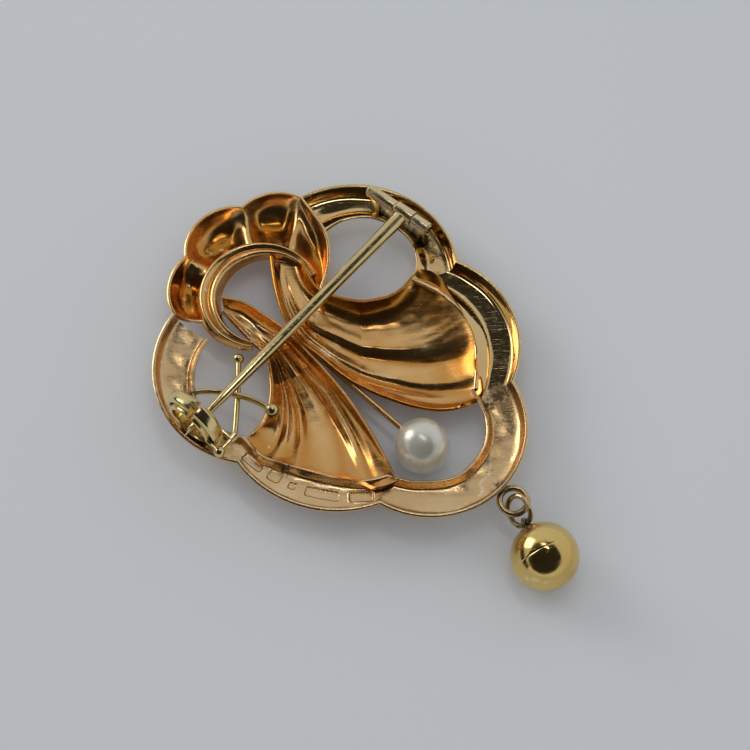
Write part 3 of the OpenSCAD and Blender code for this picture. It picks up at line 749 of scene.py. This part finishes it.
peg_end = PEARL_POS - unit(PEARL_POS - STEM_ROOT) * (PEARL_D / 2 - 0.6)
wire_piece("pearl_stem_wire", [STEM_ROOT, (STEM_ROOT + peg_end) / 2, peg_end],
           WIRE_R, LEAF_GOLD, ["pearl_stem"])
arch = arc_between((-6.87, -2.66), (-13.5, -1.1), 8.9, np.linspace(0, 1, 9))
wire_piece("stamen_long_wire", [(x, y, LONG_Z) for x, y in arch],
           WIRE_R, FITTING_GOLD, ["stamen_long"])
bend = ((-10.4, -5.0), (-9.85, -4.75), (-9.72, -2.0), (-9.7, 0.2), (-9.76, 2.07))
wire_piece("stamen_short_wire", [(x, y, SHORT_Z) for x, y in bend],
           WIRE_R, FITTING_GOLD, ["stamen_short"])


def turned_piece(name, profile, matrix, body, material, nodes, around=72, wobble=None):
    verts, faces = turned(profile, around, wobble)
    return finish_mesh(name, placed(verts, matrix), faces, body, nodes, material)


turned_piece("bead_long_ball", ball_profile(0.6), shift(-6.87, -2.66, LONG_Z), "frame",
             FITTING_GOLD, ["bead_long"])
turned_piece("bead_short_ball", ball_profile(0.48), shift(-9.76, 2.07, SHORT_Z), "frame",
             FITTING_GOLD, ["bead_short"])
turned_piece("pearl_nacre", ball_profile(PEARL_D / 2, steps=64), shift(*PEARL_POS), "frame",
             PEARL, ["pearl"], around=96,
             wobble=lambda a, z: 1 - 0.004 * (1 + np.sin(2 * a + z)))

# ---- hinge ----

TUBE_R = 0.53
KNUCKLE_R = 0.62
RIVET_R = 0.25
RUNNING_GAP = 0.03
TUBE_END = 3.08
for name, span, r, body, nodes in (
        ("hinge_tube_long", (-TUBE_END, -0.35), TUBE_R, "frame", ["hinge_tube_long"]),
        ("hinge_tube_short", (1.55, TUBE_END), TUBE_R, "frame", ["hinge_tube_short"]),
        ("pin_knuckle", (-0.27, 1.47), KNUCKLE_R, "pin", ["pin_knuckle"])):
    turned_piece(name + "_tube", rounded_tube(r, RIVET_R + RUNNING_GAP, *span, bevel=0.06),
                 ON_HINGE, body, LIT_TUBE_GOLD, nodes)
head = rounded_rod(0.4, TUBE_END, 3.2, bevel=0.05)
rivet = (capped([(r, -z) for r, z in head[::-1]])[:-1]
         + [(RIVET_R, -TUBE_END), (RIVET_R, TUBE_END)] + capped(head)[1:])
turned_piece("hinge_rivet_pin", rivet, ON_HINGE, "frame", FITTING_GOLD,
             ["hinge_rivet"], around=40)


def soft_box(low, high, bevel):
    """Points and faces of a box with rounded edges."""
    bm = bmesh.new()
    bmesh.ops.create_cube(bm, size=1.0)
    low, high = np.array(low), np.array(high)
    for vert in bm.verts:
        vert.co = Vector((low + high) / 2 + np.array(vert.co) * (high - low))
    bmesh.ops.bevel(bm, geom=list(bm.edges), offset=bevel, segments=4, profile=0.5,
                    affect="EDGES")
    bm.verts.index_update()
    verts = [tuple(v.co) for v in bm.verts]
    faces = [[v.index for v in face.verts] for face in bm.faces]
    bm.free()
    return verts, faces


def joined(parts):
    """Points and faces of several shapes as one."""
    verts, faces = [], []
    for more, sides in parts:
        faces += [[len(verts) + i for i in face] for face in sides]
        verts += list(more)
    return verts, faces


ON_FOOT = shift(HINGE[0], HINGE[1], 0) @ turn("Z", HINGE_ANGLE)
base = [soft_box((-2.6, 0.1, 2.15), (2.6, 0.9, 2.6), 0.12)]
for low, high in ((-2.9, -2.0), (2.1, 2.9)):
    verts, faces = soft_box((low, -0.2, 2.2), (high, 0.5, PIN_Z - 0.05), 0.13)
    verts = np.array(verts)
    waist = 1 - 0.22 * np.sin(np.pi * np.clip((verts[:, 2] - 2.3) / (PIN_Z - 2.6), 0, 1))
    verts[:, 0] = (low + high) / 2 + (verts[:, 0] - (low + high) / 2) * waist
    base.append((verts, faces))
verts, faces = joined(base)
finish_mesh("hinge_base_posts", placed(verts, ON_FOOT), faces, "frame",
            ["hinge_base"], FITTING_GOLD)

# ---- pin ----

knuckle_mid = Vector(HINGE) + (turn("Z", HINGE_ANGLE) @ Vector((0.6, 0, 0)))
ON_PIN = Matrix.Translation(knuckle_mid) @ turn("Z", PIN_ANGLE) @ turn("Y", 90)
PIN_LEN = 26.6
pin_z = np.concatenate([[0.6, 1.2, 2.5, 4.5, 7.0, 9.0, 12.0, 15.0, 18.0, 20.5],
                        np.linspace(22.0, PIN_LEN, 14)])
pin_r = np.interp(pin_z, [0.35, 9, 15, 22.0, PIN_LEN - 1.8, PIN_LEN - 0.5, PIN_LEN],
                  [0.62, 0.5, 0.5, 0.38, 0.22, 0.08, 0.02])
pin_profile = capped(list(zip(pin_r, pin_z)))
turned_piece("pin_shaft", pin_profile, ON_PIN, "pin", FITTING_GOLD, ["pin_stem"])

# ---- catch ----

SLOT_LOW, SLOT_HIGH = 0.1, 0.7
CATCH_R = 2.7
RING_WALL, ROTOR_GAP, ROTOR_WALL = 0.62, 0.05, 0.4
RING_W, ROTOR_W = 1.1, 1.64


def slotted_ring(r_out, r_in, w, bevel, steps=140):
    """Points and faces of a flat ring about +Z with the slot cut out of its +Y side."""
    section = []
    corners = ((r_out - bevel, bevel - w / 2, -90), (r_out - bevel, w / 2 - bevel, 0),
               (r_in + bevel, w / 2 - bevel, 90), (r_in + bevel, bevel - w / 2, 180))
    for r, z, start in corners:
        for k in range(9):
            a = math.radians(start + 90 * k / 8)
            section.append((r + bevel * math.cos(a), z + bevel * math.sin(a)))
    section = np.array(section)
    r = section[:, 0][None]
    begin = np.arccos(SLOT_LOW / r)
    end = 2 * math.pi + np.arccos(SLOT_HIGH / r)
    t = np.linspace(0, 1, steps + 1)[:, None]
    a = begin + (end - begin) * t
    verts = np.stack([r * np.cos(a), r * np.sin(a), section[:, 1][None] * np.ones_like(a)], -1)
    m = len(section)
    faces = []
    for i in range(steps):
        for j in range(m):
            k = (j + 1) % m
            faces.append([i * m + j, i * m + k, (i + 1) * m + k, (i + 1) * m + j])
    faces.append(list(range(m))[::-1])
    faces.append([steps * m + j for j in range(m)])
    return verts.reshape(-1, 3), faces


verts, faces = slotted_ring(CATCH_R, CATCH_R - RING_WALL, RING_W, bevel=0.28)
finish_mesh("catch_ring_band", placed(verts, ON_CATCH), faces, "frame",
            ["catch_ring"], FITTING_GOLD)
ROTOR_R = CATCH_R - RING_WALL - ROTOR_GAP
ROTOR_EARS = ((0.6, 0.82), (-0.82, -0.6))
LEVER_R = 3.2
LEVER_ANGLE = -12


def plate(x0, x1, w, z0, z1, round_r=0.07, steps=4):
    """Points and faces of a flat bar along +X with rounded long edges and a round far end."""
    outline = [(x0, -w / 2)]
    outline += [(x1 + w / 2 * math.sin(t), -w / 2 * math.cos(t))
                for t in np.linspace(0, math.pi, 16)]
    outline += [(x0, w / 2)]
    outline = np.array(outline)
    middle = outline.mean(0)
    levels = []
    for k in range(steps + 1):
        a = math.pi / 2 * k / steps
        levels.append((round_r * (1 - math.sin(a)), z0 + round_r * (1 - math.cos(a))))
    for k in range(steps + 1):
        a = math.pi / 2 * k / steps
        levels.append((round_r * (1 - math.cos(a)), z1 - round_r * (1 - math.sin(a))))
    verts, count = [], len(outline)
    for inset, z in levels:
        pull = unit(middle - outline) * inset
        verts += [(x, y, z) for x, y in outline + pull]
    faces = [list(range(count))[::-1], [len(verts) - count + j for j in range(count)]]
    for i in range(len(levels) - 1):
        for j in range(count):
            k = (j + 1) % count
            faces.append([i * count + j, i * count + k, (i + 1) * count + k, (i + 1) * count + j])
    return verts, faces


rotor = [slotted_ring(ROTOR_R, ROTOR_R - ROTOR_WALL, ROTOR_W, bevel=0.15)]
for low, high in ROTOR_EARS:
    ear, sides = plate(ROTOR_R - ROTOR_WALL / 2, LEVER_R - 0.05, 0.6, low, high)
    rotor.append((placed(ear, turn("Z", LEVER_ANGLE)), sides))
verts, faces = joined(rotor)
finish_mesh("catch_rotor_band", placed(verts, ON_CATCH), faces, "rotor",
            ["catch_rotor"], FITTING_GOLD)

knob = ball_profile(0.45, 0.65, steps=20, start=math.asin(0.25 / 0.45))
lever = (capped(rounded_rod(0.33, -1.25, -0.6, bevel=0.06))[:-1] + [(0.25, -0.6)] + knob)
turned_piece("catch_lever_knob", lever,
             ON_CATCH @ turn("Z", LEVER_ANGLE) @ shift(LEVER_R, 0, 0), "rotor",
             FITTING_GOLD, ["catch_lever"],
             wobble=lambda a, z: 1 - 0.05 * (z < -0.65) * (z > -1.2) * (np.cos(18 * a) > 0))

# ---- drop ----

LOOP_A = np.linspace(0, 2 * math.pi, 96, endpoint=False)


def closed_wire(path, radius, around=24):
    """Points and faces of round wire along a closed path in the XY plane."""
    tangent = unit(np.roll(path, -1, 0) - np.roll(path, 1, 0))
    across = np.cross(tangent, [0.0, 0.0, 1.0])
    a = np.linspace(0, 2 * math.pi, around, endpoint=False)
    ring = (np.cos(a)[None, :, None] * across[:, None]
            + np.sin(a)[None, :, None] * np.array([0.0, 0.0, 1.0]))
    verts = (path[:, None] + radius * ring).reshape(-1, 3)
    n = len(path)
    faces = []
    for i in range(n):
        p = (i + 1) % n
        for j in range(around):
            k = (j + 1) % around
            faces.append([i * around + j, i * around + k, p * around + k, p * around + j])
    return verts, faces


def loop_piece(name, radius, wire_r, matrix, body, nodes, straight=0.0):
    """A wire loop whose round ends are parted by a straight half length along X."""
    path = np.stack([radius * np.cos(LOOP_A) + np.where(np.cos(LOOP_A) > 0, straight, -straight),
                     radius * np.sin(LOOP_A), 0 * LOOP_A], 1)
    verts, faces = closed_wire(path, wire_r)
    return finish_mesh(name, placed(verts, matrix), faces, body, nodes, WORN_GOLD)


BALL_R, BALL_WALL, BALL_AT = 2.67, 0.3, 5.05
LINK_AT, LINK_STRAIGHT = 0.91, 1.2 - 0.95
ROLLED = turn("X", 90 - LINK_ROLL)
loop_piece("eyelet_loop", 1.08, 0.25, on_drop(0), "frame", ["eyelet"])
loop_piece("link_loop", 0.95, 0.21, on_drop(LINK_AT) @ ROLLED, "link", ["jump_ring"],
           straight=LINK_STRAIGHT)
loop_piece("ball_eye_loop", 0.4, 0.14, on_drop(BALL_AT - BALL_R - 0.27) @ ROLLED @ turn("X", 90),
           "ball", ["ball_eye"])
SEAM = 0.02
half = ball_profile(BALL_R, steps=40, end=math.pi / 2)[:-1]
half += [(BALL_R - 0.004, -SEAM), (BALL_R - 0.02, 0.0), (BALL_R - BALL_WALL, 0.0)]
half += ball_profile(BALL_R - BALL_WALL, steps=20, end=math.pi / 2)[::-1][1:]
for name, flip, node in (("ball_near", 90, "ball_near_half"), ("ball_far", -90, "ball_far_half")):
    turned_piece(name + "_shell", half, on_drop(BALL_AT) @ turn("Y", flip), "ball",
                 BALL_GOLD, [node], around=96)

# The catch's foot keeps its CAD shape
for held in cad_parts["catch_foot"].material_slots:
    held.material = FITTING_GOLD

# ---- floor, cards and light ----


def plain(name, colour, rough):
    material = bpy.data.materials.new(name)
    material.use_nodes = True
    shader = material.node_tree.nodes["Principled BSDF"]
    shader.inputs["Base Color"].default_value = (*colour, 1)
    shader.inputs["Roughness"].default_value = rough
    return material


def staged(name, verts, faces, material):
    mesh = bpy.data.meshes.new(name)
    mesh.from_pydata([tuple(v) for v in verts], [], faces)
    mesh.materials.append(material)
    thing = bpy.data.objects.new(name, mesh)
    bpy.context.collection.objects.link(thing)
    return thing


FLOOR = 0.6
staged("floor", [(-FLOOR, -FLOOR, 0), (FLOOR, -FLOOR, 0), (FLOOR, FLOOR, 0), (-FLOOR, FLOOR, 0)],
       [(0, 1, 2, 3)], plain("floor", (0.68, 0.695, 0.715), 0.7))

# Half angle that the card covers around the view, in degrees, from the right counter-clockwise
CARD_EDGE = (50, 48, 50, 56, 58, 58, 58, 58, 56, 54, 52, 51)
CARD_POINTS = 96
CARD_BEHIND = 0.012
card_a = np.linspace(0, 2 * math.pi, CARD_POINTS, endpoint=False)
card_edge = np.interp(card_a, np.arange(13) * math.pi / 6, CARD_EDGE + CARD_EDGE[:1])
card_r = (DISTANCE + CARD_BEHIND) * np.tan(np.radians(card_edge))
right = Vector((1, 0, 0))
above = VIEW.cross(right)
card_c = AIM + VIEW * (DISTANCE + CARD_BEHIND)
card = [card_c + right * float(r * math.cos(a)) + above * float(r * math.sin(a))
        for r, a in zip(card_r, card_a)]
dark = staged("dark_card", card, [list(range(CARD_POINTS))],
              plain("dark_card", (0.012, 0.010, 0.009), 0.6))
dark.visible_camera = False
dark.visible_diffuse = False
dark.visible_shadow = False

# A low dark wall on the left for the metal to reflect
WALL_X, WALL_Z = -0.19, 0.06
low_card = staged("low_card", [(WALL_X, -0.16, 0), (WALL_X, 0.22, 0), (WALL_X, 0.22, WALL_Z),
                               (WALL_X, -0.16, WALL_Z)], [(0, 1, 2, 3)],
                  plain("low_card", (0.05, 0.035, 0.025), 0.6))
low_card.visible_camera = False


def softbox(name, direction, distance, size_x, size_y, power, twist=0.0, colour=(1, 1, 1)):
    """An area light aimed at the brooch, in metres and watts."""
    data = bpy.data.lights.new(name, "AREA")
    data.shape = "RECTANGLE"
    data.size, data.size_y = size_x, size_y
    data.energy = power
    data.color = colour
    light = bpy.data.objects.new(name, data)
    bpy.context.collection.objects.link(light)
    d = Vector(direction).normalized()
    light.location = AIM + d * distance
    light.rotation_euler = (d.to_track_quat("Z", "Y").to_matrix()
                            @ Matrix.Rotation(math.radians(twist), 3, "Z")).to_euler()


softbox("strip", (0.05, 0.17, 0.98), 0.13, 0.065, 0.012, 0.011, twist=-28)
softbox("left_soft", (-0.75, 0.5, 0.45), 0.5, 0.25, 0.25, 0.55, colour=(1.0, 0.97, 0.93))

bpy.context.scene.view_settings.view_transform = "Standard"
world = bpy.data.worlds.new("world")
bpy.context.scene.world = world
world.use_nodes = True
world.node_tree.nodes["Background"].inputs["Color"].default_value = (0.80, 0.82, 0.85, 1)
world.node_tree.nodes["Background"].inputs["Strength"].default_value = 0.7
